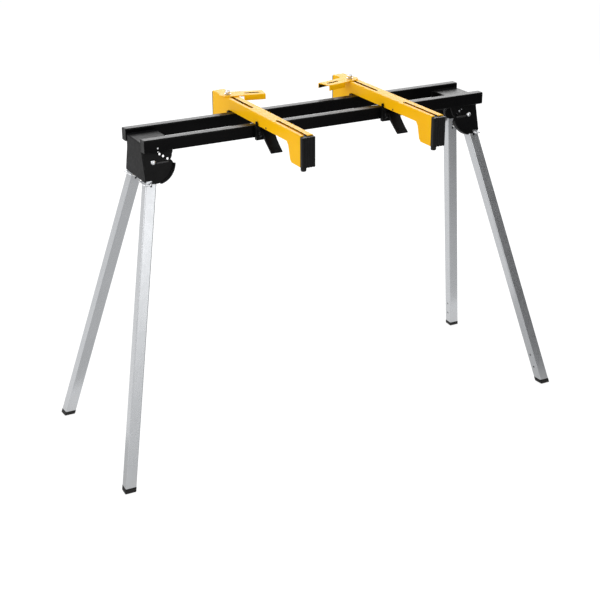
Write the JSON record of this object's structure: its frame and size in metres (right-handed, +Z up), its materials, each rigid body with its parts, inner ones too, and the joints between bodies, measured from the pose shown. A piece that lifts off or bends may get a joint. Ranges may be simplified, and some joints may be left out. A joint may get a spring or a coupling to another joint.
{
  "type": "miter saw stand",
  "caption": "Folding miter saw stand: twin-rail beam on four splayed locking legs, with sliding clamp-on saw brackets that carry swivel arms.",
  "frame": {"origin": "on the ground, under the middle of the box round the whole stand at rest", "axes": "+X along the beam to the right seen from the front, +Y from front to rear, +Z up"},
  "size_m": [1.3314, 0.5732, 0.8981],
  "materials": {
    "black_enamel": "semi-gloss black enamel",
    "yellow_enamel": "semi-gloss yellow enamel",
    "silver_leg": "satin, drawn lengthwise",
    "bright_zinc": "bright plated",
    "black_plastic": "fine moulded grain",
    "black_rubber": "matt"
  },
  "bodies": {
    "beam": {"rail_front": "black_enamel", "rail_rear": "black_enamel", "rail_front_cap_left": "black_plastic", "rail_front_cap_right": "black_plastic", "rail_rear_cap_left": "black_plastic", "rail_rear_cap_right": "black_plastic", "end_bracket_left": "black_enamel", "end_bracket_right": "black_enamel", "sector_plate_front_left": "black_enamel", "inner_plate_front_left": "black_enamel", "pivot_pin_front_left": "bright_zinc", "sector_plate_rear_left": "black_enamel", "inner_plate_rear_left": "black_enamel", "pivot_pin_rear_left": "bright_zinc", "sector_plate_front_right": "black_enamel", "inner_plate_front_right": "black_enamel", "pivot_pin_front_right": "bright_zinc", "sector_plate_rear_right": "black_enamel", "inner_plate_rear_right": "black_enamel", "pivot_pin_rear_right": "bright_zinc"},
    "leg_front_left": {"leg_tube_front_left": "silver_leg", "foot_front_left": "black_rubber"},
    "bail_front_left": {"lock_bail_front_left": "bright_zinc"},
    "leg_rear_left": {"leg_tube_rear_left": "silver_leg", "foot_rear_left": "black_rubber"},
    "bail_rear_left": {"lock_bail_rear_left": "bright_zinc"},
    "leg_front_right": {"leg_tube_front_right": "silver_leg", "foot_front_right": "black_rubber"},
    "bail_front_right": {"lock_bail_front_right": "bright_zinc"},
    "leg_rear_right": {"leg_tube_rear_right": "silver_leg", "foot_rear_right": "black_rubber"},
    "bail_rear_right": {"lock_bail_rear_right": "bright_zinc"},
    "bracket_left": {"bracket_left": "yellow_enamel", "front_cap_left": "black_plastic", "rear_cap_left": "black_plastic", "bumper_left": "black_rubber", "clamp_block_left": "black_plastic", "clamp_pin_left": "bright_zinc", "rail_hook_left": "black_plastic"},
    "pad_left": {"clamp_pad_left": "black_rubber"},
    "lever_left": {"clamp_lever_left": "black_plastic"},
    "bolt_left": {"arm_bolt_left": "bright_zinc", "arm_washer_left": "bright_zinc", "arm_nut_left": "bright_zinc"},
    "arm_left": {"arm_left": "yellow_enamel"},
    "bracket_right": {"bracket_right": "yellow_enamel", "front_cap_right": "black_plastic", "rear_cap_right": "black_plastic", "bumper_right": "black_rubber", "clamp_block_right": "black_plastic", "clamp_pin_right": "bright_zinc", "rail_hook_right": "black_plastic"},
    "pad_right": {"clamp_pad_right": "black_rubber"},
    "lever_right": {"clamp_lever_right": "black_plastic"},
    "bolt_right": {"arm_bolt_right": "bright_zinc", "arm_washer_right": "bright_zinc", "arm_nut_right": "bright_zinc"},
    "arm_right": {"arm_right": "yellow_enamel"}
  },
  "joints": [
    {"name": "leg_fold_front_left", "type": "hinge", "parent": "beam", "child": "leg_front_left", "pos_m": [-0.47, -0.00458, 0.785], "axis": [0, -0.969, 0.2469], "range_deg": [0, 105.03], "deforming": ["lock_bail_front_left"]},
    {"name": "bail_pull_front_left", "type": "slide", "parent": "leg_front_left", "child": "bail_front_left", "axis": [-0.2169, -0.241, -0.946], "range_m": [0, 0.0085], "stiffness_N_per_m": 800, "springref_m": -0.01},
    {"name": "leg_fold_rear_left", "type": "hinge", "parent": "beam", "child": "leg_rear_left", "pos_m": [-0.47, 0.07142, 0.785], "axis": [0, -0.969, -0.2469], "range_deg": [0, 105.03], "deforming": ["lock_bail_rear_left"]},
    {"name": "bail_pull_rear_left", "type": "slide", "parent": "leg_rear_left", "child": "bail_rear_left", "axis": [-0.2169, 0.241, -0.946], "range_m": [0, 0.0085], "stiffness_N_per_m": 800, "springref_m": -0.01},
    {"name": "leg_fold_front_right", "type": "hinge", "parent": "beam", "child": "leg_front_right", "pos_m": [0.47, -0.00458, 0.785], "axis": [0, 0.969, -0.2469], "range_deg": [0, 100.53], "deforming": ["lock_bail_front_right"]},
    {"name": "bail_pull_front_right", "type": "slide", "parent": "leg_front_right", "child": "bail_front_right", "axis": [0.2169, -0.241, -0.946], "range_m": [0, 0.0085], "stiffness_N_per_m": 800, "springref_m": -0.01},
    {"name": "leg_fold_rear_right", "type": "hinge", "parent": "beam", "child": "leg_rear_right", "pos_m": [0.47, 0.07142, 0.785], "axis": [0, 0.969, 0.2469], "range_deg": [0, 100.53], "deforming": ["lock_bail_rear_right"]},
    {"name": "bail_pull_rear_right", "type": "slide", "parent": "leg_rear_right", "child": "bail_rear_right", "axis": [0.2169, 0.241, -0.946], "range_m": [0, 0.0085], "stiffness_N_per_m": 800, "springref_m": -0.01},
    {"name": "bracket_slide_left", "type": "slide", "parent": "beam", "child": "bracket_left", "axis": [1, 0, 0], "range_m": [-0.28, 0.07]},
    {"name": "clamp_lever_left", "type": "hinge", "parent": "bracket_left", "child": "lever_left", "pos_m": [-0.175, -0.06008, 0.835], "axis": [1, 0, 0], "range_deg": [0, 50]},
    {"name": "clamp_pad_left", "type": "slide", "parent": "bracket_left", "child": "pad_left", "axis": [0, -1, 0], "range_m": [0, 0.0015]},
    {"name": "bolt_slide_left", "type": "slide", "parent": "bracket_left", "child": "bolt_left", "axis": [0, 1, 0], "range_m": [-0.145, 0.017]},
    {"name": "arm_swivel_left", "type": "hinge", "parent": "bolt_left", "child": "arm_left", "pos_m": [-0.179, 0.16142, 0.883], "axis": [0, 0, 1], "range_deg": [-16.5, 43.5]},
    {"name": "bracket_slide_right", "type": "slide", "parent": "beam", "child": "bracket_right", "axis": [1, 0, 0], "range_m": [-0.075, 0.26]},
    {"name": "clamp_lever_right", "type": "hinge", "parent": "bracket_right", "child": "lever_right", "pos_m": [0.196, -0.06008, 0.835], "axis": [1, 0, 0], "range_deg": [0, 50]},
    {"name": "clamp_pad_right", "type": "slide", "parent": "bracket_right", "child": "pad_right", "axis": [0, -1, 0], "range_m": [0, 0.0015]},
    {"name": "bolt_slide_right", "type": "slide", "parent": "bracket_right", "child": "bolt_right", "axis": [0, 1, 0], "range_m": [-0.142, 0.02]},
    {"name": "arm_swivel_right", "type": "hinge", "parent": "bolt_right", "child": "arm_right", "pos_m": [0.192, 0.15842, 0.883], "axis": [0, 0, 1], "range_deg": [-44.5, 15.5]}
  ],
  "couplings": [
    {"joint": "clamp_pad_left", "follows": "clamp_lever_left", "m_per_rad": 0.0017074},
    {"joint": "clamp_pad_right", "follows": "clamp_lever_right", "m_per_rad": 0.0017074}
  ]
}
